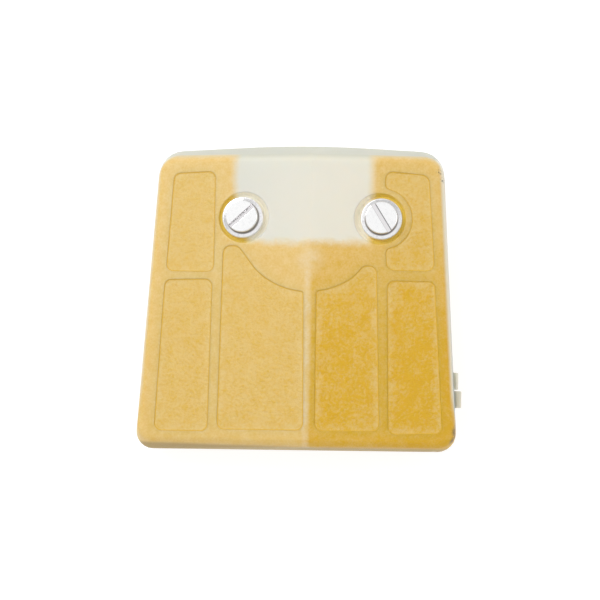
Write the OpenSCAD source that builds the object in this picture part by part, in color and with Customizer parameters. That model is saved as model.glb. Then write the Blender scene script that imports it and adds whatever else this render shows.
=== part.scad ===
// Flocked air filter housing for a small engine.
// Two nylon half shells, joined by a tongue and a rebate, carry flocked mesh panels. Two captive
// slotted nuts go through both shells and clamp them to the studs beside the intake port.
// Origin: centre of the intake port on its sealing face. +Z points away from the engine, and the
// filter chamber extends from the port along -Y.

/* [Shells] */
// Height of the parting plane between the half shells
part_z = 14; // [13:0.5:15]
// Height of the ridge along the middle of the upper shell
ridge_z = 26.5; // [26:0.25:28]
// Slope of the two roof facets, in degrees
roof_slope = 7; // [6:0.25:8]
// Height of the lower shell's floor above the sealing face
floor_z = 2; // [1.5:0.25:2.5]
// Moulded wall thickness
wall = 2; // [1.8:0.1:2.2]
// Edge fillet radius of both shells
edge_r = 3; // [2.6:0.1:3.4]
// How far the lower shell's rim stands out from the upper shell
rim_step = 0.1; // [0.1:0.1:0.5]

/* [Filter panels] */
// Depth of a panel's face below the ribs around it
panel_recess = 0.4; // [0.2:0.1:0.6]
// Thickness of a flocked mesh panel
panel_t = 0.8; // [0.6:0.1:0.9]
// Width of the ledge that a panel is welded to
panel_ledge = 1.2; // [0.8:0.1:1.4]

/* [Captive nuts] */
// Distance between the two stud axes
stud_gap = 43.4; // [42.6:0.1:44]
// Flange diameter of a nut
flange_d = 13; // [12.4:0.1:13.4]
// Thickness of a nut's flange
flange_t = 1.6; // [1.2:0.1:2]
// Diameter of a nut's slotted head
head_d = 9.9; // [9:0.1:10.4]
// Height of a nut's slotted head above its flange
head_h = 3.6; // [3:0.1:4]
// Width of the screwdriver slot
slot_w = 1.4; // [1.2:0.1:1.8]
// Depth of the screwdriver slot
slot_d = 1.7; // [1.4:0.1:2]
// Tapped hole of a nut, for an M5 stud
tap_d = 4.2; // [4.1:0.05:4.4]
// Direction of the left nut's slot, in degrees
left_slot_turn = 43; // [0:1:180]
// Direction of the right nut's slot, in degrees
right_slot_turn = 122; // [0:1:180]

/* [Intake port] */
// Bore of the rubber collar in the intake port
port_d = 26; // [25:0.5:27]
// Height of the rubber collar above the sealing face
port_h = 10.6; // [9:0.2:11]

/* [Hidden] */

$fn = 64;
hull_fn = 32;                    // segments of the round pieces inside a hull
corner_steps = 6;                // segments of one rounded corner
arc_steps = 10;                  // segments of an arc in a window's outline
far = 80;                        // longer than the shells reach from the origin
over = 1;                        // overshoot of a cutter
slide_gap = 0.1;                 // gap between pieces that slide past each other

// Tongue of the upper shell and rebate of the lower one
tongue_in = 1.6;                 // from the rim's outer face to the tongue's
tongue_t = 1;
tongue_h = 2.4;

// Nuts, their seats and the stud bosses
stud_x = stud_gap / 2;
seat_z = 22;                     // flat seat under a nut's flange
seat_t = 2.4;
seat_r = 7.4;                    // recess around a nut
seat_boss_r = 8.9;
boss_r = 7;
pad_z = 0.4;                     // faces of the intake pad and of the sleeves
shank_r = 3.5;
shank_bore_r = 3.7;
shank_z = 6;                     // lower end of a nut's shank
tap_depth = 14;
chamfer = 0.4;
sleeve_r = 4.7;
ring_z = 14.6;                   // underside of a retaining ring
ring_t = 0.8;
ring_r = 4.8;
ring_split = 1.6;
ring_room_r = 5.3;
groove_r = 3.1;                  // floor of the groove that a ring snaps into
groove_gap = 0.08;               // radial clearance between a ring and its groove

// Intake pad and the rubber collar
port_r = port_d / 2;
seal_t = 1.5;                    // wall of the rubber collar
seal_r = port_r + seal_t;
seal_lip = 1.4;                  // width of its sealing lip and of its retaining bead
seal_lip_h = 1.2;
bead_z = port_h - seal_lip_h;    // underside of the retaining bead
collar_r = seal_r + seal_lip + 1;
pad_r = collar_r + 0.8;
pad_end = [29.2, 8.6, 8];        // half length, half width and corner radius of the pad's arms
foot_r = 1.7;
feet = [[-40, -69.1], [33, -69.1]];

// Tabs that are pushed apart to split the shells: [from y, to y, end x]
upper_tab = [-52.6, -47.3, 46.6];
lower_tab = [-58.4, -53.1, 47.8];
tab_t = 2.4;
tab_root = 3;                    // length of a tab, with what is inside the wall

// Corners of the rim in plan, each [x, y, corner radius]
rim = [
    [-49.8, 22.1, 8], [-55.8, -73.6, 5.5], [46.6, -72.3, 6], [41.1, 22.5, 8], [-3, 24.9, 350]
];
// Edge round the corners of the roof: [x, y, corner radius], where x and y are the fillet's centre
roof_corners = [[-42.6, 13.4, 7.2], [-49.3, -66.2, 5.4], [40.3, -65.7, 5.4], [34.2, 13.4, 7.2]];
ridge_ends = [17.6, -68.2];      // y of the fillet's centre at the ends of the ridge
// Edge round the corners of the floor
floor_corners = [[-40.6, 14.4, 7.2], [-48.2, -65.8, 5.4], [39.6, -65.2, 5.4], [32.3, 14.4, 7.2]];

// Windows in plan, the same in both shells, each corner [x, y, corner radius]
win_r = 2.2;
port_arc = [-0.8, 0, 23.1];      // edge of the windows round the port: centre x, y and radius
nut_arc = [stud_x, 0, 9.6];      // edge of the window beside the right nut
win_port_left = [
    [-44.2, 14.2, win_r], [-46.1, -17, win_r], [-30.6, -17.2, win_r], [-30.7, 14.7, win_r]
];
win_outer_left = [
    [-46.4, -19.7, win_r], [-48.7, -67.3, win_r], [-31.4, -67.1, win_r], [-31, -19.4, win_r]
];
win_inner_left = concat(
    [[-27.7, -8.9, 2.4], [-28.4, -66.4, win_r], [-1.2, -65.9, win_r], [-2, -23.1, 1]],
    arc(port_arc, -99, -136),
    [[-22.9, -8.9, 3.2]]
);
win_inner_right = concat(
    [[2, -22.8, 1], [2.3, -65.9, win_r], [22.1, -65.8, win_r], [20.5, -14.8, 2.2], [16.4, -14.8, 2.2]],
    arc(port_arc, -50, -79)
);
win_outer_right = [
    [23.8, -19.3, win_r], [24.9, -66.7, win_r], [41.5, -66.2, win_r], [38.6, -19.2, win_r]
];
win_port_right = concat(
    [[38.5, -16, 2.4], [36.4, 14, 2.6], [22.7, 15, 2.4], [22.8, 9.5, 1.6]],
    arc(nut_arc, 62, -62),
    [[23.2, -9.5, 1.6], [23.5, -16, 2.4]]
);
windows = [
    win_port_left, win_port_right, win_outer_left, win_inner_left, win_inner_right, win_outer_right
];

// Sharp corners along a circular arc [centre x, centre y, radius]
function arc(circle, from, to) = [
    for (i = [0 : arc_steps])
        let (a = from + (to - from) * i / arc_steps)
        [circle[0] + circle[2] * cos(a), circle[1] + circle[2] * sin(a), 0]
];

function unit(v) = v / norm(v);
function turned(v, a) = [v.x * cos(a) - v.y * sin(a), v.x * sin(a) + v.y * cos(a)];
function plan(p) = [p.x, p.y];

// Points of a corner with radius r between two neighbours, moved inwards by inset
function corner(before, here, after, r, inset) =
    let (
        a = unit(before - here),
        b = unit(after - here),
        half = acos(a * b) / 2,
        inwards = unit(a + b),
        centre = here + inwards * r / sin(half),
        side = a.x * b.y - a.y * b.x > 0 ? 1 : -1,
        sweep = side * (half - 90)
    )
    [for (i = [-corner_steps : 2 : corner_steps])
        centre + turned(inwards * (inset - r), sweep * i / corner_steps)];

// Closed outline with rounded corners. Only an outline without sharp corners takes an inset.
function rounded(points, inset = 0) = [
    for (i = [0 : len(points) - 1])
        let (n = len(points), p = points[i])
        each p[2] == 0 ? [plan(p)]
            : corner(plan(points[(i + n - 1) % n]), plan(p), plan(points[(i + 1) % n]), p[2], inset)
];

function roof_z(x) = ridge_z - abs(x) * tan(roof_slope);

// Everything between two depths below the roof facets
module below_roof(top, bottom) {
    rotate([90, 0, 0])
        translate([0, 0, -far])
            linear_extrude(2 * far)
                polygon([
                    [-far, roof_z(far) - top], [0, ridge_z - top], [far, roof_z(far) - top],
                    [far, roof_z(far) - bottom], [0, ridge_z - bottom], [-far, roof_z(far) - bottom]
                ]);
}

module plate(outline, z0, z1) {
    translate([0, 0, z0])
        linear_extrude(z1 - z0)
            polygon(outline);
}

// Fillet that runs round a corner of the given radius, as a full ring
module edge_ring(corner_r, inset) {
    rotate_extrude($fn = hull_fn)
        intersection() {
            translate([corner_r - edge_r, 0])
                circle(edge_r - inset, $fn = hull_fn);
            translate([0, -edge_r])
                square([corner_r, 2 * edge_r]);
        }
}

// Outer form of the upper shell, moved inwards by inset and extended down by drop
module upper_form(inset, drop) {
    hull() {
        plate(rounded(rim, rim_step + inset), part_z - drop, part_z + 1);
        for (c = roof_corners)
            translate([c.x, c.y, roof_z(c.x) - edge_r / cos(roof_slope)])
                rotate([0, sign(c.x) * roof_slope, 0])
                    edge_ring(c[2], inset);
        for (y = ridge_ends)
            translate([0, y, ridge_z - edge_r / cos(roof_slope)])
                sphere(edge_r - inset, $fn = hull_fn);
    }
}

// Outer form of the lower shell, moved inwards by inset and extended up by rise
module lower_form(inset, rise) {
    hull() {
        plate(rounded(rim, inset), part_z - tongue_h - wall, part_z + rise);
        for (c = floor_corners)
            translate([c.x, c.y, floor_z + edge_r])
                edge_ring(c[2], inset);
    }
}

// Openings that a panel covers, a ledge's width smaller than the panel
module window_openings(z0, z1) {
    translate([0, 0, z0])
        linear_extrude(z1 - z0)
            offset(delta = -panel_ledge)
                for (w = windows)
                    polygon(rounded(w));
}

module at_studs() {
    for (side = [-1, 1])
        translate([side * stud_x, 0, 0])
            children();
}

module pry_tab(tab, z) {
    translate([tab[2] - tab_root, tab[0], z])
        cube([tab_root, tab[1] - tab[0], tab_t]);
}

module upper_frame() {
    color("ivory")
        difference() {
            union() {
                difference() {
                    upper_form(0, 0);
                    upper_form(wall, over);
                }
                intersection() {
                    upper_form(0, 0);
                    at_studs() {
                        translate([0, 0, part_z])
                            cylinder(r = boss_r, h = ridge_z);
                        translate([0, 0, seat_z - seat_t])
                            cylinder(r = seat_boss_r, h = ridge_z);
                    }
                }
                difference() {
                    plate(rounded(rim, tongue_in), part_z - tongue_h, part_z + wall / 2);
                    plate(rounded(rim, tongue_in + tongue_t), 0, ridge_z);
                }
                pry_tab(upper_tab, part_z + slide_gap);
            }
            for (w = windows)
                intersection() {
                    below_roof(-over, panel_recess + panel_t);
                    plate(rounded(w), part_z, ridge_z + over);
                }
            window_openings(part_z + wall, ridge_z);
            at_studs() {
                translate([0, 0, seat_z])
                    cylinder(r = seat_r, h = ridge_z);
                cylinder(r = ring_room_r, h = seat_z - seat_t);
                cylinder(r = shank_bore_r, h = ridge_z);
            }
        }
}

module upper_panel(outline) {
    color("goldenrod")
        intersection() {
            below_roof(panel_recess, panel_recess + panel_t);
            plate(rounded(outline), part_z, ridge_z);
        }
}

module lower_panel(outline) {
    color("goldenrod")
        plate(rounded(outline), floor_z + panel_recess, floor_z + panel_recess + panel_t);
}

// Slotted head, flange and a shank with a ring groove, tapped from below
module captive_nut(slot_turn) {
    flange_z = seat_z + flange_t;
    top_z = flange_z + head_h;
    groove_z = ring_z - slide_gap;
    groove_top = ring_z + ring_t + slide_gap;
    color("silver")
        difference() {
            rotate_extrude()
                polygon([
                    [0, shank_z], [shank_r - chamfer, shank_z], [shank_r, shank_z + chamfer],
                    [shank_r, groove_z], [groove_r, groove_z], [groove_r, groove_top],
                    [shank_r, groove_top], [shank_r, seat_z], [flange_d / 2, seat_z],
                    [flange_d / 2, flange_z - chamfer], [flange_d / 2 - chamfer, flange_z],
                    [head_d / 2, flange_z], [head_d / 2, top_z - chamfer],
                    [head_d / 2 - chamfer, top_z], [0, top_z]
                ]);
            translate([0, 0, top_z - slot_d])
                rotate(slot_turn)
                    translate([-flange_d, -slot_w / 2, 0])
                        cube([2 * flange_d, slot_w, slot_d + over]);
            cylinder(d = tap_d, h = shank_z + tap_depth);
        }
}

module left_nut() {
    translate([-stud_x, 0, 0])
        captive_nut(left_slot_turn);
}

module right_nut() {
    translate([stud_x, 0, 0])
        captive_nut(right_slot_turn);
}

module retaining_ring(side) {
    color("dimgray")
        translate([side * stud_x, 0, ring_z])
            difference() {
                cylinder(r = ring_r, h = ring_t);
                translate([0, 0, -over])
                    cylinder(r = groove_r + groove_gap, h = ring_t + 2 * over);
                translate([0, -ring_split / 2, -over])
                    cube([2 * ring_r, ring_split, ring_t + 2 * over]);
            }
}

module lower_frame() {
    color("ivory")
        difference() {
            union() {
                difference() {
                    lower_form(0, 0);
                    lower_form(wall, over);
                    plate(rounded(rim, tongue_in - slide_gap), part_z - tongue_h - slide_gap, ridge_z);
                }
                translate([0, 0, pad_z])
                    cylinder(r = pad_r, h = floor_z + wall - pad_z);
                plate(pad_arms(), pad_z, floor_z + wall);
                translate([0, 0, pad_z])
                    cylinder(r = collar_r, h = bead_z - pad_z);
                at_studs()
                    translate([0, 0, pad_z])
                        cylinder(r = boss_r, h = part_z - pad_z);
                for (f = feet)
                    translate([f.x, f.y, 0])
                        cylinder(r = foot_r, h = floor_z + wall);
                pry_tab(lower_tab, part_z - slide_gap - tab_t);
            }
            for (w = windows)
                plate(rounded(w), 0, floor_z + panel_recess + panel_t);
            window_openings(0, part_z);
            cylinder(r = seal_r, h = part_z);
            cylinder(r = seal_r + seal_lip, h = seal_lip_h + pad_z);
            translate([0, 0, bead_z])
                cylinder(r = seal_r + seal_lip, h = part_z);
            at_studs()
                cylinder(r = sleeve_r, h = ridge_z);
        }
}

function pad_arms() = rounded([
    for (s = [[-1, 1], [-1, -1], [1, -1], [1, 1]])
        [s.x * pad_end[0], s.y * pad_end[1], pad_end[2]]
]);

module stud_sleeve(side) {
    color("gray")
        translate([side * stud_x, 0, pad_z])
            difference() {
                cylinder(r = sleeve_r, h = part_z - pad_z);
                translate([0, 0, -over])
                    cylinder(r = shank_bore_r, h = part_z + 2 * over);
            }
}

// Rubber collar with a sealing lip below and a bead that holds it in the port above
module port_seal() {
    color("dimgray")
        difference() {
            union() {
                cylinder(r = seal_r, h = port_h);
                cylinder(r = seal_r + seal_lip, h = seal_lip_h + pad_z);
                translate([0, 0, bead_z])
                    cylinder(r = seal_r + seal_lip, h = seal_lip_h);
            }
            translate([0, 0, -over])
                cylinder(r = port_r, h = port_h + 2 * over);
        }
}

upper_frame();
upper_panel(win_port_left);  // upper_panel_port_left
upper_panel(win_port_right);  // upper_panel_port_right
upper_panel(win_outer_left);  // upper_panel_outer_left
upper_panel(win_inner_left);  // upper_panel_inner_left
upper_panel(win_inner_right);  // upper_panel_inner_right
upper_panel(win_outer_right);  // upper_panel_outer_right
left_nut();
right_nut();
retaining_ring(-1);  // left_retaining_ring
retaining_ring(1);  // right_retaining_ring
lower_frame();
lower_panel(win_port_left);  // lower_panel_port_left
lower_panel(win_port_right);  // lower_panel_port_right
lower_panel(win_outer_left);  // lower_panel_outer_left
lower_panel(win_inner_left);  // lower_panel_inner_left
lower_panel(win_inner_right);  // lower_panel_inner_right
lower_panel(win_outer_right);  // lower_panel_outer_right
stud_sleeve(-1);  // left_stud_sleeve
stud_sleeve(1);  // right_stud_sleeve
port_seal();
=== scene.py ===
"""Looks of the flocked air filter housing: soft-edged shells, felted panels and turned nuts.

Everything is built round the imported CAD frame, in metres. Sizes named in this file are in
millimetres, and MM turns them into metres.
"""

import math

import bmesh
import bpy
import numpy as np
from mathutils import Matrix, Vector, noise
from mathutils.geometry import delaunay_2d_cdt


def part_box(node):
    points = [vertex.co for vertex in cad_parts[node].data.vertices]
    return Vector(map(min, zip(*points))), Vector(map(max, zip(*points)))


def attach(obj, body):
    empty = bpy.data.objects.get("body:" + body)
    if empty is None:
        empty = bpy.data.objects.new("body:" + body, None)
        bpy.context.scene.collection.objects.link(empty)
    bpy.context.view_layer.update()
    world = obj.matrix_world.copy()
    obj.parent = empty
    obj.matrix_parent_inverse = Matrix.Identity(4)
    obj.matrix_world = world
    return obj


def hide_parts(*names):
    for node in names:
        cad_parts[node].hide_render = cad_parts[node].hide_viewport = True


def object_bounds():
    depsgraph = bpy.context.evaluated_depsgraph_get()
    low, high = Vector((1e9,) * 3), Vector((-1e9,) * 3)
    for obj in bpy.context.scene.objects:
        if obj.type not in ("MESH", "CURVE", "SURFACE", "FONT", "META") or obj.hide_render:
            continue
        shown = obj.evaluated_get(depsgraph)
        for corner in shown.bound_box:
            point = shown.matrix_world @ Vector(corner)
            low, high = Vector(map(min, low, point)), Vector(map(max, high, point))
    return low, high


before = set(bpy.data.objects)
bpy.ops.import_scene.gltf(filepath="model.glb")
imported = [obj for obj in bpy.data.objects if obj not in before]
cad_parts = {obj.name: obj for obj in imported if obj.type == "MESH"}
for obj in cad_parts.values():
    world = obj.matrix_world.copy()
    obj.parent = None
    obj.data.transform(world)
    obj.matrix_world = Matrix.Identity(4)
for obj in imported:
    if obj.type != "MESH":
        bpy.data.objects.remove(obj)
cad_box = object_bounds()

MM = 0.001
HALVES = ("upper", "lower")
PANELS = ("port_left", "port_right", "outer_left", "inner_left", "inner_right", "outer_right")
SIDES = ("left", "right")

# Places worked out from the frame, in millimetres
upper_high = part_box("upper_frame")[1] / MM
lower_low, lower_high = (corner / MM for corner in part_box("lower_frame"))
seal_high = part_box("port_seal")[1] / MM
nut_box = {side: [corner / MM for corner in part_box(f"{side}_nut")] for side in SIDES}
nut_axis = {side: (low + high) / 2 for side, (low, high) in nut_box.items()}

# Shape of the shells, which the materials follow
RIDGE_Z = upper_high.z
ROOF_SLOPE = math.tan(math.radians(7))
FLOOR_Z = 2.0            # outer face of the lower shell's floor
BEND_Z = 9.6             # below this the lower shell's walls lean in
PARTING_Z = 14.0         # plane between the half shells
SKIN = 1.6               # depth from which a face is an inner one, less than the wall's 2 mm
WALL_LEAN = 0.34         # about how far a wall leans in for each millimetre of height
RIM_HALF = 48.25         # half width of the rim, from its middle line, halfway along it
RIM_MIDDLE = -4.5        # x of that middle line
RIM_TAPER = 0.0604       # how much the half width shrinks for each millimetre towards the port
RIM_R = 7.5
MASK_SHIFT = 3.5         # the spray mask's outline is the rim's, moved so far from the port
MASK_WIDEN = 1.85        # and made so much wider on both sides
SEAT_R = 7.4             # recess round a nut
SEAT_BOSS_R = 8.9
SEAT_DRAFT = 22          # degrees
PAD_END = (29.2, 8.6, 8) # half length, half width and corner radius of the intake pad's arms
PAD_R = 17.7

# Nut. Its foot, head and flange come from the frame, the rest is as in the CAD.
NUT_LOW = nut_box["left"][0].z
NUT_TOP = nut_box["left"][1].z
FLANGE_R = (nut_box["left"][1].x - nut_box["left"][0].x) / 2
HEAD_R = 4.95
HEAD_H = 3.6
FLANGE_T = 1.6
SHANK_R = 3.5
GROOVE = (14.5, 15.5)
GROOVE_R = 3.1
TAP_R = 2.1
TAP_DEPTH = 14
THREAD_PITCH = 0.8
THREAD_DEPTH = 0.4
SLOT_W = 1.4
SLOT_D = 1.7
SLOT_TURN = {"left": 43, "right": 122}   # degrees
SLOT_FLOOR = NUT_TOP - SLOT_D
SEAT_Z = NUT_TOP - HEAD_H - FLANGE_T
BORE_TOP = NUT_LOW + TAP_DEPTH


# ---------------------------------------------------------------- node trees

class Num:
    """A number in a node tree, so that a formula of nodes reads as a formula."""

    def __init__(self, tree, socket):
        self.tree = tree
        self.socket = socket

    def __add__(self, other):
        return self.tree.math("ADD", self, other)

    def __sub__(self, other):
        return self.tree.math("SUBTRACT", self, other)

    def __rsub__(self, other):
        return self.tree.math("SUBTRACT", other, self)

    def __neg__(self):
        return 0 - self

    def __mul__(self, other):
        return self.tree.math("MULTIPLY", self, other)

    __radd__ = __add__
    __rmul__ = __mul__

    def abs(self):
        return self.tree.math("ABSOLUTE", self)

    def step(self, start, end):
        """0 up to start, 1 from end on, and smooth between them."""
        made = self.tree.node("ShaderNodeMapRange", {"interpolation_type": "SMOOTHSTEP"}, Value=self)
        made.inputs["From Min"].default_value = start
        made.inputs["From Max"].default_value = end
        return Num(self.tree, made.outputs[0])

    def clip(self):
        made = self.tree.node("ShaderNodeClamp", {}, Value=self)
        return Num(self.tree, made.outputs[0])


class Tree:
    """Builds one material's node tree with few words. Its x, y and z are in millimetres."""

    def __init__(self, name):
        self.material = bpy.data.materials.new(name)
        self.material.use_nodes = True
        self.tree = self.material.node_tree
        self.tree.nodes.clear()
        self.output = self.tree.nodes.new("ShaderNodeOutputMaterial")
        self.place = self.node("ShaderNodeTexCoord").outputs["Object"]
        axes = self.node("ShaderNodeSeparateXYZ", Vector=self.place).outputs
        self.x, self.y, self.z = (Num(self, axis) * (1 / MM) for axis in axes)

    def node(self, kind, settings=None, **inputs):
        made = self.tree.nodes.new(kind)
        for key, value in (settings or {}).items():
            setattr(made, key, value)
        for key, value in inputs.items():
            self.set(made.inputs[key.replace("_", " ")], value)
        return made

    def set(self, socket, value):
        if isinstance(value, Num):
            value = value.socket
        if isinstance(value, bpy.types.NodeSocket):
            self.tree.links.new(value, socket)
        else:
            socket.default_value = value

    def math(self, operation, a, b=0.0, c=0.0):
        made = self.node("ShaderNodeMath", {"operation": operation})
        for socket, value in zip(made.inputs, (a, b, c)):
            self.set(socket, value)
        return Num(self, made.outputs[0])

    def most(self, a, b, soft=0.0):
        return self.math("SMOOTH_MAX", a, b, soft) if soft else self.math("MAXIMUM", a, b)

    def length(self, a, b):
        return self.math("SQRT", a * a + b * b)

    def noise(self, size, detail=2.0, roughness=0.5, place=None):
        """Noise from 0 to 1 whose blotches are about size millimetres wide."""
        made = self.node("ShaderNodeTexNoise", Vector=place or self.place, Scale=1 / (size * MM))
        made.inputs["Detail"].default_value = detail
        made.inputs["Roughness"].default_value = roughness
        return Num(self, made.outputs[0])

    def attribute(self, name):
        made = self.node("ShaderNodeAttribute", {"attribute_name": name})
        return Num(self, made.outputs["Fac"])

    def mix(self, factor, a, b):
        made = self.node("ShaderNodeMix", {"data_type": "RGBA"})
        for socket, value in zip((made.inputs[0], made.inputs[6], made.inputs[7]), (factor, a, b)):
            self.set(socket, value)
        return made.outputs[2]

    def blend(self, factor, a, b):
        made = self.node("ShaderNodeMix", {"data_type": "FLOAT"})
        for socket, value in zip((made.inputs[0], made.inputs[2], made.inputs[3]), (factor, a, b)):
            self.set(socket, value)
        return Num(self, made.outputs[0])

    def bump(self, height, depth):
        """Bumps depth millimetres high."""
        made = self.node("ShaderNodeBump", Height=height)
        made.inputs["Distance"].default_value = depth * MM
        return made.outputs[0]

    def surface(self, **inputs):
        shader = self.node("ShaderNodeBsdfPrincipled", **inputs)
        self.tree.links.new(shader.outputs[0], self.output.inputs[0])
        return shader


# ---------------------------------------------------------------- colours

FLOCK_THICK = (0.745, 0.425, 0.002, 1)   # deep amber, where the fibres are long and dense
FLOCK_THIN = (0.82, 0.575, 0.215, 1)     # pale, where the nylon shows through them, and on the left roof facet, where it paints the key light's sheen
RIB_THICK = (0.7, 0.395, 0.002, 1)       # the same on the solid ribs, whose fibres are shorter
RIB_THIN = (0.83, 0.58, 0.235, 1)
RECESS_LIFT_AMBER = (0.74, 0.5, 0.05, 1)             # painted light: a lighter amber that lifts the shade in the recess round each nut
GROOVE_EDGE = (0.95, 0.62, 0.09, 1)      # painted light: lighter amber on the rounded edge round each panel, against the shade in the groove
END_WALL_SHADE = (0.42, 0.28, 0.07, 1)        # painted shade on the flock of the end wall away from the port
# nylon painted darker on the left and lighter on the right, to even out the key light on the two
# roof facets
NYLON_LEFT = (0.76, 0.73, 0.64, 1)
NYLON_RIGHT = (0.87, 0.785, 0.65, 1)
NYLON_COOL = (0.74, 0.75, 0.64, 1)
NYLON_WALL_SHADE = (0.56, 0.56, 0.47, 1)        # painted shade on the walls of the port end and the right side
DIRT = (0.05, 0.035, 0.02, 1)
DIRT_CORNER = [(39.6, 15.2, 21.2), (40.9, 12.7, 20.8)]      # places of the dark specks
DIRT_SMEAR = [(45.6, -64, 17.8), (45.2, -65.6, 19.2), (45.5, -67, 17.6), (44.9, -68.4, 19)]
GLOW_BARE = (0.85, 0.8, 0.66, 1)         # painted glow in the recess round a nut, standing in for light through the thin nylon
GLOW_FLOCK = (0.38, 0.27, 0.05, 1)
# painted dark reflection on the lower part of a nut head's wall
METAL_DARK_REFLECTION = (0.36, 0.34, 0.33, 1)
FELT_LOOK = {"Subsurface_Radius": (1.0, 0.85, 0.7), "Sheen_Weight": 0.15, "Sheen_Roughness": 0.4}


# ---------------------------------------------------------------- where the flock lies

def rim_distance(t, shift=0.0, widen=0.0):
    """Millimetres from the rim's outline in plan, less than 0 inside it.

    The outline may be moved away from the port by shift and made wider on both sides.
    """
    middle_y = (lower_low.y + lower_high.y) / 2
    half_y = (lower_high.y - lower_low.y) / 2
    y = t.y + shift - middle_y
    across = (t.x - RIM_MIDDLE).abs() + y * RIM_TAPER - (RIM_HALF + widen - RIM_R)
    along = y.abs() - (half_y - RIM_R)
    outside = t.length(t.most(across, 0.0), t.most(along, 0.0))
    inside = t.math("MINIMUM", t.most(across, along), 0.0)
    return outside + inside - RIM_R


def roof_depth(t):
    """Millimetres below the roof facets."""
    return RIDGE_Z - t.x.abs() * ROOF_SLOPE - t.z


def nut_recess(t):
    """1 on the wall and the floor of the recess round each nut."""
    away = t.length(t.x.abs() - nut_axis["right"].x, t.y)
    near = 1 - away.step(SEAT_BOSS_R - 0.8, SEAT_BOSS_R)
    return near * t.z.step(SEAT_Z - 0.6, SEAT_Z - 0.4) * roof_depth(t).step(0.1, 0.6)


def inner_skin(t, half):
    """1 on the faces that look into the chamber, where nothing is flocked."""
    depth = roof_depth(t) if half == "upper" else t.z - FLOOR_Z
    along_wall = t.z - PARTING_Z - 1 if half == "upper" else BEND_Z - t.z
    lean = t.most(along_wall, 0.0) * WALL_LEAN
    deep = depth.step(SKIN - 0.15, SKIN) * (-rim_distance(t) - lean).step(1.1, 1.3)
    return deep * (1 - nut_recess(t)) if half == "upper" else deep


def mask_edge(t):
    """Wavy edge of the spray mask, in millimetres."""
    return (t.noise(6, 2.0) - 0.5) * 3.2 + (t.noise(1.4, 2.0) - 0.5) * 1.0


def masked_side(t):
    """1 along the right side and the port end, where the mask kept the rim bare."""
    right = t.x.step(30, 34) * t.y.step(-66, -58)
    return t.most(right, t.y.step(4, 16))


def plate_distance(t):
    """Millimetres outside the bare plate between the nuts, less than 0 on it."""
    left = (t.y - 13) * (t.y - 13) * 0.012 - 24.7 - t.x
    right = t.x + (t.y - 12) * (t.y - 12) * 0.003 - 19.0
    return t.most(t.most(left, right), -7.9 - t.y + mask_edge(t), 1.5)


def flock_cover(t, half):
    """1 under thick flock, 0 on bare nylon."""
    fuzzy = (t.noise(0.8, 3.0, 0.6) - 0.5) * 0.7
    inside = inner_skin(t, half)
    masked = masked_side(t)
    if half == "lower":
        below_rim = (BEND_Z - t.z + fuzzy + (1 - masked) * 6).step(-0.25, 0.35)
        off_pad = (pad_distance(t) + fuzzy).step(0.4, 1.0)
        return below_rim * off_pad * (1 - inside)
    end_wall = rim_distance(t, MASK_SHIFT, MASK_WIDEN) + 1.1
    bare = t.most(-plate_distance(t), end_wall, 3.5)
    low_edge = PARTING_Z - 1 + masked * 6.2
    above_rim = (t.z - low_edge + fuzzy).step(-0.3, 0.5)
    off_tab = 1 - rim_distance(t).step(0.5, 0.8)
    along_sides = (t.x.step(-10, 30) * 0.4 + 0.45) * t.y.step(-62, -52)
    strip = rim_distance(t).step(-2.1, -0.7) * along_sides
    return (fuzzy - bare).step(-2.2, 1.8) * above_rim * off_tab * (1 - strip) * (1 - inside)


def pad_distance(t):
    """Millimetres outside the bare intake pad."""
    half_length, half_width, corner_r = PAD_END
    across = t.most(t.x.abs() - (half_length - corner_r), 0.0)
    along = t.most(t.y.abs() - (half_width - corner_r), 0.0)
    arms = t.length(across, along) - corner_r
    round_port = t.length(t.x, t.y) - PAD_R
    return t.math("MINIMUM", arms, round_port)


def nylon_colour(t):
    """Natural nylon, greyer towards the port end, painted lighter and yellower to the right to even
    out the key light on the left roof facet, with painted shade on the port end and right walls.
    """
    # painted light: the right side lighter than the left, to even out the key light on the two roof
    # facets
    across = t.mix((t.x + (t.noise(16) - 0.5) * 12).step(-22, 22), NYLON_LEFT, NYLON_RIGHT)
    cloudy = (t.noise(9, 2.0) - 0.35).clip() * 0.6 + t.y.step(12, 24) * 0.5
    tab = rim_distance(t).step(0.5, 0.8)
    # painted shade on the walls of the port end and the right side, half as much on the tabs
    side_wall = (20 - t.z).step(0, 1.5) * t.x.step(40, 44) * (1 - tab * 0.5)
    shade = t.most(t.y.step(17.5, 20.5), side_wall)
    return t.mix(shade, t.mix(cloudy, across, NYLON_COOL), NYLON_WALL_SHADE)


def flock_depth_and_sheen(t):
    """How thick the fibres look, 0 to 1, partly their own depth and partly painted sheen: paler on
    the left roof facet and towards the port, where the key light's sheen is painted, and deeper
    amber towards the lower right.
    """
    # painted sheen: paler towards the port and on the roof left of the ridge
    down = (12 - t.y).step(0, 58)
    right = (t.x + (t.noise(1.5) - 0.5) * 0.8).step(-1.2, 1.2)
    return down * 0.12 + right * (down * 0.3 + 0.14) + t.x.step(18, 34) * down * 0.1 + 0.19


def fibres(t):
    """Height of the flock's surface, 0 to 1: clumps of fibres with fine fuzz on them."""
    return t.noise(0.55, 3.0, 0.65) * 0.6 + t.noise(0.16, 2.0, 0.6) * 0.4


def worn_ridge(t):
    """Flock rubbed thin along the ridge."""
    along = (t.x + 0.5 + (t.noise(4) - 0.5) * 1.2).abs()
    patches = t.noise(7).step(0.3, 0.7) * 0.7 + 0.3
    return (1 - along.step(0.3, 1.7)) * (-t.y).step(10, 15) * patches * t.noise(1.1, 3.0, 0.6) * 0.6


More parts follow.
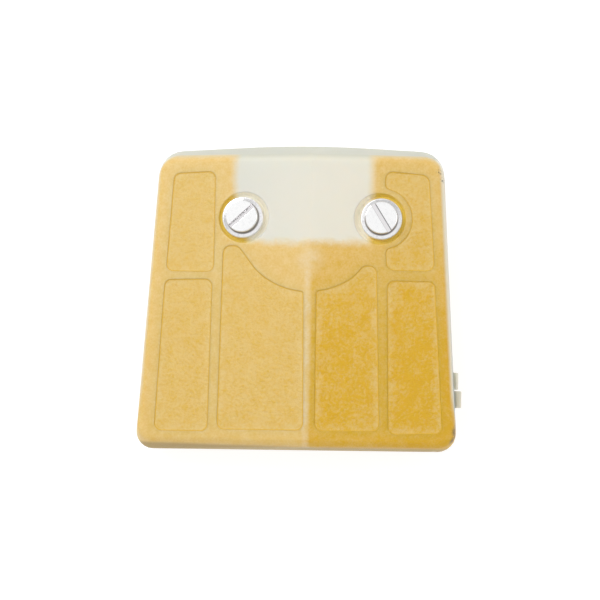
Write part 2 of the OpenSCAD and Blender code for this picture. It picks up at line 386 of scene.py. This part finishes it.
def specks(t, places, reach, amount):
    """Small dark spots near some places, each (x, y, z)."""
    total = None
    for x, y, z in places:
        away = t.length(t.length(t.x - x, t.y - y), t.z - z)
        near = 1 - away.step(0.0, reach)
        total = near if total is None else t.most(total, near)
    spots = t.noise(0.45, 2.0, 0.7).step(0.62 - amount, 0.7 - amount)
    return total * spots


def ridge_rounding(t, square):
    """Height in millimetres that shades the sharp ridge as a round one, from its radius squared."""
    return (t.x.abs() - t.math("SQRT", t.x * t.x + square)) * ROOF_SLOPE


# ---------------------------------------------------------------- materials

SHELL_BUMP = 0.07        # depth of the shell's bumps, in millimetres


def shell_material(half):
    t = Tree(f"{half}_flocked_nylon")
    cover = flock_cover(t, half)
    grain = (t.noise(2.6, 3.0, 0.6) - 0.5) * 0.8 + (t.noise(0.6, 3.0, 0.6) - 0.5) * 0.9
    rib = t.mix((flock_depth_and_sheen(t) * 1.18 + grain - 0.07).clip(), RIB_THIN, RIB_THICK)
    light_depth = 0.5
    if half == "upper":
        thin_patch = (1 - t.length(t.x, t.y + 13).step(1, 6)) * t.noise(2.5) * 0.55
        rib = t.mix(t.most(worn_ridge(t), thin_patch), rib, NYLON_RIGHT)
        border = -t.most(rim_distance(t), rim_distance(t, 2.2))
        # painted light on the rounded edges round the panels, which lifts their shade
        groove = roof_depth(t).step(0.02, 0.2) * border.step(4.6, 5.6)
        rib = t.mix(groove, rib, GROOVE_EDGE)
        # painted light: lighter amber in the nut recesses, against their shade
        rib = t.mix(nut_recess(t), rib, RECESS_LIFT_AMBER)
        light_depth = (1 - groove * (1 - nut_recess(t))) * 0.5
        cover = t.most(cover, nut_recess(t) * 0.12)
    # painted shade on the end wall away from the port
    end_shade = (-t.y).step(70.6, 71.8) * 0.85
    rib = t.mix(end_shade, rib, END_WALL_SHADE)
    colour = t.mix(cover, nylon_colour(t), rib)
    if half == "upper":
        colour = t.mix(specks(t, DIRT_CORNER, 1.6, 0.1), colour, DIRT)
        colour = t.mix(specks(t, DIRT_SMEAR, 2.2, 0.25), colour, DIRT)
    height = t.blend(cover, t.noise(0.5, 2.0) * 0.1, fibres(t) * 2 + 0.8)
    glow = 0.0
    if half == "upper":
        rounded = t.blend(cover, 36.0, 2.0)
        height = height + ridge_rounding(t, rounded) * (1 / SHELL_BUMP)
        # painted glow that lightens the shade in the nut recesses
        glow = nut_recess(t) * 0.26
    t.surface(
        Base_Color=colour,
        Emission_Color=t.mix(cover, GLOW_BARE, GLOW_FLOCK),
        Emission_Strength=glow,
        Roughness=t.blend(cover, 0.6, 0.52),
        Normal=t.bump(height, SHELL_BUMP),
        Subsurface_Weight=t.blend(cover, 0.8, light_depth),
        Subsurface_Scale=5 * MM,
        **FELT_LOOK,
    )
    return t.material


def panel_material():
    """Felt: deep amber in blotches, pale along the edges where the fibres are thin."""
    t = Tree("flocked_mesh_felt")
    from_edge = t.attribute("edge_mm")
    depth = flock_depth_and_sheen(t)
    blotch = (t.noise(4.2, 3.0, 0.6) - 0.5) * 1.1 + (t.noise(0.9, 3.0, 0.7) - 0.5) * 1.9
    lumps = t.noise(0.9, 3.0, 0.6) * 0.7 + t.noise(0.3, 2.0, 0.6) * 0.3
    edge = 1 - (from_edge + (t.noise(2.6, 2.0) - 0.5) * 3).step(0.2, 3.0)
    thick = depth * (1.12 - edge * 0.45) + blotch * (depth * 0.7 + 0.6)
    thick = t.most(thick, depth * 0.55 - edge * 0.2)
    colour = t.mix(thick.clip(), FLOCK_THIN, FLOCK_THICK)
    # painted shade: a deep amber line right at the felt's edge
    edge_shade_line = 1 - from_edge.step(0.1, 0.45)
    colour = t.mix(edge_shade_line * 0.75, colour, FLOCK_THICK)
    t.surface(
        Base_Color=colour,
        Roughness=0.52,
        Normal=t.bump(lumps, 0.5),
        Subsurface_Weight=from_edge.step(0.0, 1.0) * 0.5,
        Subsurface_Scale=2 * MM,
        **FELT_LOOK,
    )
    return t.material


def gauze_material():
    """Inner face of a panel: amber nylon gauze, one thread every 0.6 mm both ways."""
    t = Tree("nylon_gauze")
    pitch = 0.6
    warp = t.math("SINE", t.x * (2 * math.pi / pitch)).abs()
    weft = t.math("SINE", t.y * (2 * math.pi / pitch)).abs()
    thread = t.most(warp, weft)
    colour = t.mix(thread.step(0.55, 0.85), (0.42, 0.24, 0.03, 1), (0.76, 0.62, 0.34, 1))
    t.surface(
        Base_Color=colour,
        Roughness=0.45,
        Normal=t.bump(thread, 0.12),
    )
    return t.material


def zinc_material():
    """Bright zinc with faint turned rings, duller off the head's top, with a painted dark reflection
    low on the head's wall and painted shade on the slot's walls.
    """
    t = Tree("bright_zinc")
    across = t.length(t.x, t.y)
    rings = t.node("ShaderNodeCombineXYZ", X=across * MM, Z=t.z * MM).outputs[0]
    turned = t.noise(0.09, 2.0, 0.6, place=rings)
    handled = t.noise(1.1, 3.0, 0.6)
    face = t.z.step(NUT_TOP - 0.2, NUT_TOP - 0.05)
    worn = handled.step(0.4, 0.8)
    bright = t.mix(worn, (0.98, 0.98, 0.98, 1), (0.93, 0.93, 0.935, 1))
    dull = t.mix(worn, (0.9, 0.9, 0.905, 1), (0.76, 0.75, 0.76, 1))
    colour = t.mix(face, dull, bright)
    outside_head = across.step(HEAD_R + 0.15, HEAD_R + 0.5)
    head_wall = across.step(HEAD_R - 0.12, HEAD_R - 0.02) * (1 - outside_head)
    low_on_head = 1 - t.z.step(NUT_TOP - 1.4, NUT_TOP - 0.25)
    # painted dark reflection low on the head's side wall
    colour = t.mix(head_wall * low_on_head, colour, METAL_DARK_REFLECTION)
    edges = t.most(head_wall, across.step(FLANGE_R - 0.45, FLANGE_R - 0.3))
    inside_head = 1 - across.step(HEAD_R - 0.12, HEAD_R - 0.05)
    in_slot = inside_head * (1 - t.z.step(NUT_TOP - 0.25, NUT_TOP - 0.1))
    # painted shade: the slot's walls dark, its floor a little darker than the top
    wall = t.z.step(SLOT_FLOOR + 0.08, SLOT_FLOOR + 0.3)
    colour = t.mix(in_slot, colour, t.mix(wall, (0.84, 0.82, 0.83, 1), (0.42, 0.41, 0.41, 1)))
    t.surface(
        Base_Color=colour,
        Metallic=1.0,
        Roughness=t.most(t.blend(handled, 0.1, 0.17), edges * 0.5),
        Normal=t.bump(turned + handled * 0.6, 0.0012),
    )
    return t.material


def sleeve_material():
    t = Tree("drawn_steel")
    streaks = t.noise(0.4, 3.0, 0.6)
    t.surface(
        Base_Color=t.mix(streaks, (0.52, 0.51, 0.49, 1), (0.62, 0.61, 0.6, 1)),
        Metallic=1.0,
        Roughness=t.blend(streaks, 0.28, 0.42),
        Normal=t.bump(streaks, 0.01),
    )
    return t.material


def ring_material():
    t = Tree("spring_steel")
    scale = t.noise(0.7, 3.0, 0.6)
    t.surface(
        Base_Color=t.mix(scale, (0.1, 0.1, 0.105, 1), (0.19, 0.185, 0.18, 1)),
        Metallic=0.9,
        Roughness=t.blend(scale, 0.35, 0.55),
        Normal=t.bump(scale, 0.01),
    )
    return t.material


def rubber_material():
    t = Tree("nitrile_rubber")
    bloom = t.noise(4, 3.0, 0.6)
    t.surface(
        Base_Color=t.mix(bloom, (0.018, 0.018, 0.018, 1), (0.04, 0.039, 0.037, 1)),
        Roughness=t.blend(bloom, 0.5, 0.7),
        Normal=t.bump(t.noise(0.25, 3.0), 0.02),
    )
    return t.material


shell_look = {half: shell_material(half) for half in HALVES}
felt = panel_material()
gauze = gauze_material()
zinc = zinc_material()
drawn_steel = sleeve_material()
spring_steel = ring_material()
rubber = rubber_material()


# ---------------------------------------------------------------- meshes

def piece(name, bm, materials, body, node, origin=(0, 0, 0)):
    """A new object that stands for one CAD node and rides on its body."""
    mesh = bpy.data.meshes.new(name)
    bmesh.ops.translate(bm, verts=bm.verts, vec=-Vector(origin))
    bm.to_mesh(mesh)
    bm.free()
    for material in materials:
        mesh.materials.append(material)
    mesh.polygons.foreach_set("use_smooth", [True] * len(mesh.polygons))
    obj = bpy.data.objects.new(name, mesh)
    obj.location = origin
    bpy.context.scene.collection.objects.link(obj)
    weigh = obj.modifiers.new("even_normals", "WEIGHTED_NORMAL")
    weigh.mode = "FACE_AREA"
    weigh.keep_sharp = True
    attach(obj, body)
    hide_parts(node)
    return obj


def merged(node):
    """The node's CAD mesh with its faces joined up and its flat regions in one face each."""
    bm = bmesh.new()
    bm.from_mesh(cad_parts[node].data)
    bmesh.ops.remove_doubles(bm, verts=bm.verts, dist=0.002 * MM)
    bmesh.ops.dissolve_limit(bm, angle_limit=math.radians(0.3), verts=bm.verts, edges=bm.edges)
    return bm


def soften(bm, width, segments=3, sharper_than=35):
    """Rounds every edge that turns more than an angle.

    Faces of many corners are split first, because a bevel can make such a face cross itself.
    """
    bmesh.ops.triangulate(bm, faces=[f for f in bm.faces if len(f.verts) > 4])
    limit = math.radians(sharper_than)
    edges = [e for e in bm.edges if len(e.link_faces) == 2 and e.calc_face_angle(0) > limit]
    bmesh.ops.bevel(
        bm, geom=edges, offset=width * MM, offset_type="OFFSET", segments=segments, profile=0.5,
        affect="EDGES", clamp_overlap=False,
    )


def outer_outline(node, up):
    """Closed outline of a panel's outer face as points (x, y), and the plane of that face."""
    bm = merged(node)
    outer = [f for f in bm.faces if f.normal.z * up > 0.9]
    edges = [e for e in bm.edges if sum(f in outer for f in e.link_faces) == 1]
    after = {}
    for e in edges:
        a, b = e.verts
        after.setdefault(a, []).append(b)
        after.setdefault(b, []).append(a)
    start = edges[0].verts[0]
    loop = [start]
    here, before = after[start][0], start
    while here is not start:
        loop.append(here)
        ahead = [v for v in after[here] if v is not before][0]
        here, before = ahead, here
    points = np.array([v.co.xy for v in loop])
    normal = outer[0].normal.copy()
    anchor = outer[0].verts[0].co.copy()
    bm.free()
    x, y = points.T
    if np.sum(x * np.roll(y, -1) - y * np.roll(x, -1)) < 0:
        points = points[::-1]
    return points, normal, anchor


def resample(points, pitch):
    """The same closed outline with a point at least every pitch."""
    made = []
    for a, b in zip(points, np.roll(points, -1, axis=0)):
        count = max(1, math.ceil(np.linalg.norm(b - a) / pitch))
        made += [a + (b - a) * i / count for i in range(count)]
    return np.array(made)


def unit(vectors):
    return vectors / np.linalg.norm(vectors, axis=1)[:, None]


def inset(points, distance):
    """The outline moved inwards."""
    before = points - np.roll(points, 1, axis=0)
    after = np.roll(points, -1, axis=0) - points
    direction = unit(before) + unit(after)
    inwards = np.stack([-direction[:, 1], direction[:, 0]], axis=1)
    return points + unit(inwards) * distance


def distance_to(outline, points):
    """How far each point is from a closed outline."""
    nearest = np.full(len(points), np.inf)
    for a, b in zip(outline, np.roll(outline, -1, axis=0)):
        along = b - a
        share = np.clip((points - a) @ along / (along @ along), 0, 1)
        nearest = np.minimum(nearest, np.linalg.norm(points - a - share[:, None] * along, axis=1))
    return nearest


def inside(outline, points):
    """Which points a closed outline holds."""
    x, y = points.T
    odd = np.zeros(len(points), bool)
    for (ax, ay), (bx, by) in zip(outline, np.roll(outline, -1, axis=0)):
        if ay != by:
            crosses = (ay > y) != (by > y)
            odd ^= crosses & (x < (bx - ax) * (y - ay) / (by - ay) + ax)
    return odd


FELT_PITCH = 0.42        # spacing of the felt's mesh
FELT_T = 0.8             # thickness of a panel
FELT_RISE = 0.08         # how far the fibres stand above the panel's face
FELT_ROUND = [0.0, 0.2, 0.5]             # rings of points round the edge of the felt
FELT_DROP = [-0.18, -0.05, 0.0]          # the fibres climb the wall round the panel


def felt_relief(x, y):
    """Uneven surface of the fibres, in metres above the panel's face."""
    broad = noise.noise(Vector((x / (6 * MM), y / (6 * MM), 3.1)))
    clumps = noise.noise(Vector((x / (1.9 * MM), y / (1.9 * MM), 7.7)))
    fine = noise.noise(Vector((x / (0.9 * MM), y / (0.9 * MM), 1.3)))
    return (0.05 * broad + 0.045 * clumps + 0.03 * fine) * MM


def felt_panel(half, panel):
    node = f"{half}_panel_{panel}"
    up = 1 if half == "upper" else -1
    outline, normal, anchor = outer_outline(node, up)
    outline = resample(outline, FELT_PITCH * MM)
    count = len(outline)
    rings = [inset(outline, d * MM) for d in FELT_ROUND]
    low, high = outline.min(0), outline.max(0)
    pitch = FELT_PITCH * MM
    grid_x, grid_y = np.meshgrid(
        np.arange(low[0], high[0], pitch), np.arange(low[1], high[1], pitch * 0.866)
    )
    grid_x[1::2] += pitch / 2
    grid = np.stack([grid_x.ravel(), grid_y.ravel()], axis=1)
    grid = grid[inside(outline, grid)]
    grid = grid[distance_to(outline, grid) > (FELT_ROUND[-1] + FELT_PITCH * 0.6) * MM]
    points = np.concatenate(rings + [grid])
    loops = [
        (r * count + i, r * count + (i + 1) % count) for r in range(len(rings)) for i in range(count)
    ]
    flat, _, faces, origins, *_ = delaunay_2d_cdt(
        [Vector(p) for p in points], loops, [list(range(count))], 1, 1e-7
    )
    edge_mm = distance_to(outline, np.array(flat)) / MM
    drop = np.interp(edge_mm, FELT_ROUND, FELT_DROP) * MM
    slope = -normal.x / normal.z, -normal.y / normal.z

    def face_z(x, y):
        return anchor.z + (x - anchor.x) * slope[0] + (y - anchor.y) * slope[1]

    bm = bmesh.new()
    layer = bm.verts.layers.float.new("edge_mm")
    top = []
    for (x, y), away, fall in zip(flat, edge_mm, drop):
        relief = felt_relief(x, y) * min(away / FELT_ROUND[-1], 1) + FELT_RISE * MM
        vert = bm.verts.new((x, y, face_z(x, y) + up * (relief - fall)))
        vert[layer] = away
        top.append(vert)
    for face in faces:
        order = face if up > 0 else face[::-1]
        bm.faces.new([top[i] for i in order])
    boundary = {i: k for k, source in enumerate(origins) for i in source if i < count}
    rim = [top[boundary[i]] for i in range(count)]
    under = [bm.verts.new((v.co.x, v.co.y, face_z(v.co.x, v.co.y) - up * FELT_T * MM)) for v in rim]
    for i in range(count):
        k = (i + 1) % count
        wall = [rim[i], under[i], under[k], rim[k]]
        bm.faces.new(wall if up > 0 else wall[::-1])
        for a, b in ((rim[i], rim[k]), (under[i], under[k])):
            bm.edges.get((a, b)).smooth = False
    inner = bm.faces.new(under[::-1] if up > 0 else under)
    inner.material_index = 1
    bmesh.ops.triangulate(bm, faces=[inner])
    bmesh.ops.recalc_face_normals(bm, faces=bm.faces)
    return piece(
        f"{half}_felt_{panel}", bm, [felt, gauze], f"{half}_shell", node
    )


def revolve(profile, segments=96, shift=None):
    """Closed mesh turned from a closed profile of points (r, z) in millimetres.

    shift(r, z, angle) may move a point's radius.
    """
    bm = bmesh.new()
    rings = []
    for r, z in profile:
        if r == 0:
            rings.append([bm.verts.new((0, 0, z * MM))])
            continue
        ring = []
        for i in range(segments):
            angle = 2 * math.pi * i / segments
            out = r + (shift(r, z, angle) if shift else 0)
            x, y = out * MM * math.cos(angle), out * MM * math.sin(angle)
            ring.append(bm.verts.new((x, y, z * MM)))
        rings.append(ring)
    for a, b in zip(rings, rings[1:] + rings[:1]):
        for i in range(segments):
            k = (i + 1) % segments
            corners = [a[i % len(a)], a[k % len(a)], b[k % len(b)], b[i % len(b)]]
            distinct = list(dict.fromkeys(corners))
            if len(distinct) > 2:
                bm.faces.new(distinct)
    bmesh.ops.recalc_face_normals(bm, faces=bm.faces)
    return bm


def round_corner(centre_r, centre_z, radius, start, end, steps=4):
    """Points along an arc of a profile, angles in degrees from the outward direction."""
    return [
        (
            centre_r + radius * math.cos(math.radians(start + (end - start) * i / steps)),
            centre_z + radius * math.sin(math.radians(start + (end - start) * i / steps)),
        )
        for i in range(steps + 1)
    ]


def nut_thread(r, z, angle):
    """Cuts an M5 thread into the bore, fading at its two ends."""
    if r != TAP_R:
        return 0
    turn = (z / THREAD_PITCH - angle / (2 * math.pi)) % 1
    fade = min(1, max(0, (z - NUT_LOW) / 0.5), max(0, (BORE_TOP - 1 - z) / 1.5))
    return THREAD_DEPTH * (1 - abs(2 * turn - 1)) * fade


def turned_nut(side):
    flange_top = SEAT_Z + FLANGE_T
    steps = round(TAP_DEPTH / THREAD_PITCH * 8)
    bore = [(TAP_R, BORE_TOP - TAP_DEPTH * i / steps) for i in range(steps + 1)]
    profile = (
        [(0, BORE_TOP + 0.9)] + bore + [(TAP_R + 0.45, NUT_LOW)]
        + [(SHANK_R - 0.4, NUT_LOW)] + [(SHANK_R, NUT_LOW + 0.4)]
        + [(SHANK_R, GROOVE[0]), (GROOVE_R, GROOVE[0]), (GROOVE_R, GROOVE[1]), (SHANK_R, GROOVE[1])]
        + [(SHANK_R, SEAT_Z - 0.3), (SHANK_R + 0.3, SEAT_Z)]
        + round_corner(FLANGE_R - 0.15, SEAT_Z + 0.15, 0.15, -90, 0)
        + round_corner(FLANGE_R - 0.35, flange_top - 0.35, 0.35, 0, 90)
        + round_corner(HEAD_R + 0.25, flange_top + 0.25, 0.25, 270, 180)
        + round_corner(HEAD_R - 0.22, NUT_TOP - 0.22, 0.22, 0, 90)
        + [(2.4, NUT_TOP), (0, NUT_TOP)]
    )
    bm = revolve(profile, shift=nut_thread)
    bm = cut(bm, slot_cutter(SLOT_TURN[side]))
    soften_slot(bm)
    axis = Vector((nut_axis[side].x, nut_axis[side].y, 0)) * MM
    bmesh.ops.translate(bm, verts=bm.verts, vec=axis)
    return piece(f"{side}_nut_turned", bm, [zinc], f"{side}_nut_body", f"{side}_nut", axis)


def slot_cutter(turn):
    """Bar that cuts the slot across a nut's head, round along its two lower edges."""
    slot = bmesh.new()
    half, corner = SLOT_W / 2, 0.15
    reach = 8
    outline = (
        [(half, NUT_TOP + 1)]
        + round_corner(half - corner, SLOT_FLOOR + corner, corner, 0, -90, 3)
        + round_corner(corner - half, SLOT_FLOOR + corner, corner, -90, -180, 3)
        + [(-half, NUT_TOP + 1)]
    )
    ends = [[slot.verts.new((x * MM, y * MM, z * MM)) for y, z in outline] for x in (-reach, reach)]
    for i in range(len(outline)):
        k = (i + 1) % len(outline)
        slot.faces.new([ends[0][i], ends[0][k], ends[1][k], ends[1][i]])
    slot.faces.new(ends[0][::-1])
    slot.faces.new(ends[1])
    bmesh.ops.recalc_face_normals(slot, faces=slot.faces)
    spin = Matrix.Rotation(math.radians(turn), 3, "Z")
    bmesh.ops.rotate(slot, verts=slot.verts, matrix=spin)
    return slot


def soften_slot(bm):
    """Makes one face of each half of the head's top and rounds the edges the slot left."""
    bmesh.ops.remove_doubles(bm, verts=bm.verts, dist=0.002 * MM)
    spokes = [
        e for e in bm.edges
        if len(e.link_faces) == 2
        and min(v.co.z for face in e.link_faces for v in face.verts) > (NUT_TOP - 0.01) * MM
    ]
    bmesh.ops.dissolve_edges(bm, edges=spokes, use_verts=True)
    edges = [
        e for e in bm.edges
        if len(e.link_faces) == 2
        and e.calc_face_angle(0) > math.radians(50)
        and min(v.co.z for v in e.verts) > (SLOT_FLOOR - 0.05) * MM
    ]
    bmesh.ops.bevel(
        bm, geom=edges, offset=0.07 * MM, offset_type="OFFSET", segments=2, profile=0.5,
        affect="EDGES", clamp_overlap=False,
    )


def cut(body, cutter):
    """The body's mesh without the cutter's."""
    objects = []
    for bm in (body, cutter):
        mesh = bpy.data.meshes.new("cut")
        bm.to_mesh(mesh)
        bm.free()
        obj = bpy.data.objects.new("cut", mesh)
        bpy.context.scene.collection.objects.link(obj)
        objects.append(obj)
    carve = objects[0].modifiers.new("carve", "BOOLEAN")
    carve.operation = "DIFFERENCE"
    carve.solver = "EXACT"
    carve.object = objects[1]
    made = bmesh.new()
    made.from_object(objects[0], bpy.context.evaluated_depsgraph_get())
    for obj in objects:
        mesh = obj.data
        bpy.data.objects.remove(obj)
        bpy.data.meshes.remove(mesh)
    return made


def rubber_collar():
    """The intake collar, with two fine sealing ribs under its lip and a rounded bead above."""
    bore = 13.0
    wall_r = 14.5
    lip_r = seal_high.x
    top = seal_high.z
    lip_top = 1.6
    bead_low = top - 1.2
    profile = (
        round_corner(bore + 0.25, top - 0.25, 0.25, 90, 180)
        + round_corner(bore + 0.4, 0.6, 0.4, 180, 270)
        + round_corner(bore + 1.0, 0.2, 0.2, 180, 360, 6)
        + round_corner(bore + 1.9, 0.2, 0.2, 180, 360, 6)
        + round_corner(lip_r - 0.35, 0.55, 0.35, 270, 360)
        + round_corner(lip_r - 0.1, lip_top - 0.1, 0.1, 0, 90)
        + [(wall_r, lip_top), (wall_r, bead_low)]
        + round_corner(lip_r - 0.1, bead_low + 0.1, 0.1, 270, 360)
        + round_corner(lip_r - 0.6, top - 0.6, 0.6, 0, 90)
    )
    bm = revolve(profile, 128)
    return piece("port_collar", bm, [rubber], "lower_shell", "port_seal")


def soft_copy(node, name, materials, body, width, origin=(0, 0, 0), cutters=()):
    bm = merged(node)
    for cutter in cutters:
        bm = cut(bm, cutter)
    soften(bm, width)
    return piece(name, bm, materials, body, node, origin)


def recess_draft(side):
    """Cone that gives the straight wall of a nut's recess its moulding draft."""
    low, high = SEAT_Z + 0.15, RIDGE_Z + 1
    wide = SEAT_R + (high - SEAT_Z) * math.tan(math.radians(SEAT_DRAFT))
    cone = revolve([(0, low), (SEAT_R - 0.05, low), (wide, high), (0, high)], 64)
    bmesh.ops.translate(cone, verts=cone.verts, vec=(nut_axis[side].x * MM, 0, 0))
    return cone


# ---------------------------------------------------------------- pieces

for half in HALVES:
    drafts = [recess_draft(side) for side in SIDES] if half == "upper" else ()
    soft_copy(
        f"{half}_frame", f"{half}_moulding", [shell_look[half]], f"{half}_shell", 0.25,
        cutters=drafts,
    )
    for panel in PANELS:
        felt_panel(half, panel)

for side in SIDES:
    turned_nut(side)
    soft_copy(
        f"{side}_retaining_ring", f"{side}_spring_ring", [spring_steel], f"{side}_nut_carrier",
        0.1,
    )
    soft_copy(
        f"{side}_stud_sleeve", f"{side}_steel_sleeve", [drawn_steel], "lower_shell", 0.2
    )

rubber_collar()


# ---------------------------------------------------------------- stage

MIDDLE = (-0.003, -0.025, 0.02)          # what the lamps point at, in metres
LAMPS = [                                # name, place, diameter and power
    ("key", (-0.32, 0.34, 0.7), 0.36, 3.0),
    ("fill", (0.46, 0.05, 0.62), 0.3, 0.6),
    ("overhead", (-0.01, 0.0, 0.82), 0.5, 0.22),
]
SKY = 0.6
CAMERA_AT = (0.022047, -0.045363, 0.370794)
CAMERA_RIGHT = Vector((0.99724907, 0.02085929, -0.07112797))
CAMERA_UP = Vector((-0.016757, 0.99818803, 0.05779148))


def floor():
    bpy.ops.mesh.primitive_plane_add(size=3.0, location=(0, 0, cad_box[0].z))
    plane = bpy.context.object
    plane.name = "floor"
    t = Tree("pale_floor")
    t.surface(
        Base_Color=(0.3, 0.3, 0.3, 1.0),
        Roughness=0.9,
        Emission_Color=(1, 1, 1, 1),
        Emission_Strength=0.82,
    )
    plane.data.materials.append(t.material)


def area_light(name, place, size, power):
    data = bpy.data.lights.new(name, "AREA")
    data.shape = "DISK"
    data.size = size
    data.energy = power
    lamp = bpy.data.objects.new(name, data)
    bpy.context.scene.collection.objects.link(lamp)
    lamp.location = place
    lamp.rotation_euler = (Vector(MIDDLE) - Vector(place)).to_track_quat("-Z", "Y").to_euler()
    lamp.visible_camera = False


def camera():
    """A long lens above the lower right of the roof, looking almost square down on it."""
    data = bpy.data.cameras.new("camera")
    data.sensor_width = 36
    data.lens = 67.2
    cam = bpy.data.objects.new("camera", data)
    bpy.context.scene.collection.objects.link(cam)
    axes = Matrix((CAMERA_RIGHT, CAMERA_UP, CAMERA_RIGHT.cross(CAMERA_UP))).transposed()
    cam.matrix_world = Matrix.Translation(CAMERA_AT) @ axes.to_4x4()
    bpy.context.scene.camera = cam


def studio():
    scene = bpy.context.scene
    scene.view_settings.view_transform = "Standard"
    world = bpy.data.worlds.new("studio")
    scene.world = world
    world.use_nodes = True
    backdrop = world.node_tree.nodes["Background"]
    backdrop.inputs[0].default_value = (1, 1, 1, 1)
    backdrop.inputs[1].default_value = SKY
    for name, place, size, power in LAMPS:
        area_light(name, place, size, power)


floor()
camera()
studio()
